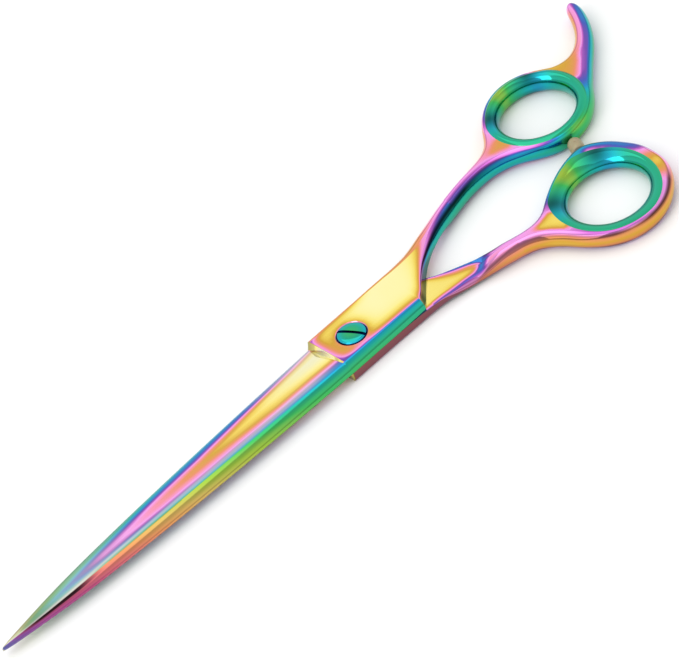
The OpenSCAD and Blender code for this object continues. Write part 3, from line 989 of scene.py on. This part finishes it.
for node in ("head_washer", "slide_washer"):     # these keep the shape of the CAD model
    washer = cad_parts[node]
    washer.data.materials.clear()
    washer.data.materials.append(NYLON)


# ---------------------------------------------------------------- floor, light and camera

FLOOR_R = 3                                      # radius of the table top, m
SKY = [(0, .9), (.1, .68), (.25, .72), (.38, 1.1), (.55, 1.05), (.68, 1.05), (.85, .85), (1, .75)]
VIEW = Vector((-.3622, -.6438, .674))            # from the object to the camera
RIGHT = Vector((.7006, -.665, -.2587))           # to the right in the picture
UP = Vector((.6148, .3785, .6919))               # up in the picture
AIM = (-.00375, .00308)                          # middle of the picture, right and up of the pivot, m
FRAME_WIDTH = .16975                             # width of the picture at the object, m
LENS, SENSOR = 1500, 36                          # a very long lens: the photo shows no perspective, mm


def grey(v):
    """Opaque grey of the given linear brightness."""
    return (v, v, v, 1)


def floor():
    """Pale round table top under the object."""
    turn = np.linspace(0, 2 * math.pi, 64, endpoint=False)
    mesh = bpy.data.meshes.new("floor")
    corners = [(FLOOR_R * math.cos(a), FLOOR_R * math.sin(a), 0) for a in turn]
    mesh.from_pydata(corners, [], [list(range(len(corners)))])
    n = Nodes("floor")
    ramp = n.ramp([(0, grey(.88)), (1, grey(.92))])
    n.link(n.noise(6, 2), ramp.inputs[0])
    n.link(ramp.outputs[0], n.bsdf.inputs["Base Color"])
    n.bsdf.inputs["Roughness"].default_value = .6
    mesh.materials.append(n.mat)
    return link("floor", mesh)


def card(name, place, size, power):
    """Soft box light that faces the object."""
    lamp = bpy.data.lights.new(name, "AREA")
    lamp.shape, lamp.energy = "RECTANGLE", power
    lamp.size, lamp.size_y = size
    obj = bpy.data.objects.new(name, lamp)
    obj.location = place
    obj.rotation_euler = (-Vector(place)).to_track_quat("-Z", "Y").to_euler()
    bpy.context.scene.collection.objects.link(obj)


def studio_world():
    """Surroundings whose brightness depends on the height of the direction, for the steel to reflect."""
    world = bpy.data.worlds.new("studio")
    world.use_nodes = True
    tree = world.node_tree
    coord = tree.nodes.new("ShaderNodeTexCoord")
    split = tree.nodes.new("ShaderNodeSeparateXYZ")
    ramp = tree.nodes.new("ShaderNodeValToRGB")
    fill_ramp(ramp, [(height, grey(v)) for height, v in SKY])
    tree.links.new(coord.outputs["Generated"], split.inputs[0])
    tree.links.new(split.outputs[2], ramp.inputs[0])
    tree.links.new(ramp.outputs[0], tree.nodes["Background"].inputs[0])
    return world


def place_camera():
    """Long-lens camera at the photo's angle."""
    data = bpy.data.cameras.new("camera")
    data.lens, data.sensor_width, data.clip_end = LENS, SENSOR, 60
    camera = bpy.data.objects.new("camera", data)
    bpy.context.scene.collection.objects.link(camera)
    back = VIEW.normalized()
    side = (RIGHT - back * RIGHT.dot(back)).normalized()
    aim = Vector((0, 0, LIFT * MM)) + RIGHT * AIM[0] + UP * AIM[1]
    turned = Matrix((side, back.cross(side), back)).transposed().to_4x4()
    camera.matrix_world = Matrix.Translation(aim + back * FRAME_WIDTH * LENS / SENSOR) @ turned
    return camera


floor()
card("sky_panel", (-.2, .2, 1.8), (2.4, 1.6), 9)
card("left_panel", (-1.2, -.2, .9), (.8, 1.2), 6)
bpy.context.scene.world = studio_world()
bpy.context.scene.camera = place_camera()
bpy.context.scene.view_settings.view_transform = "Standard"
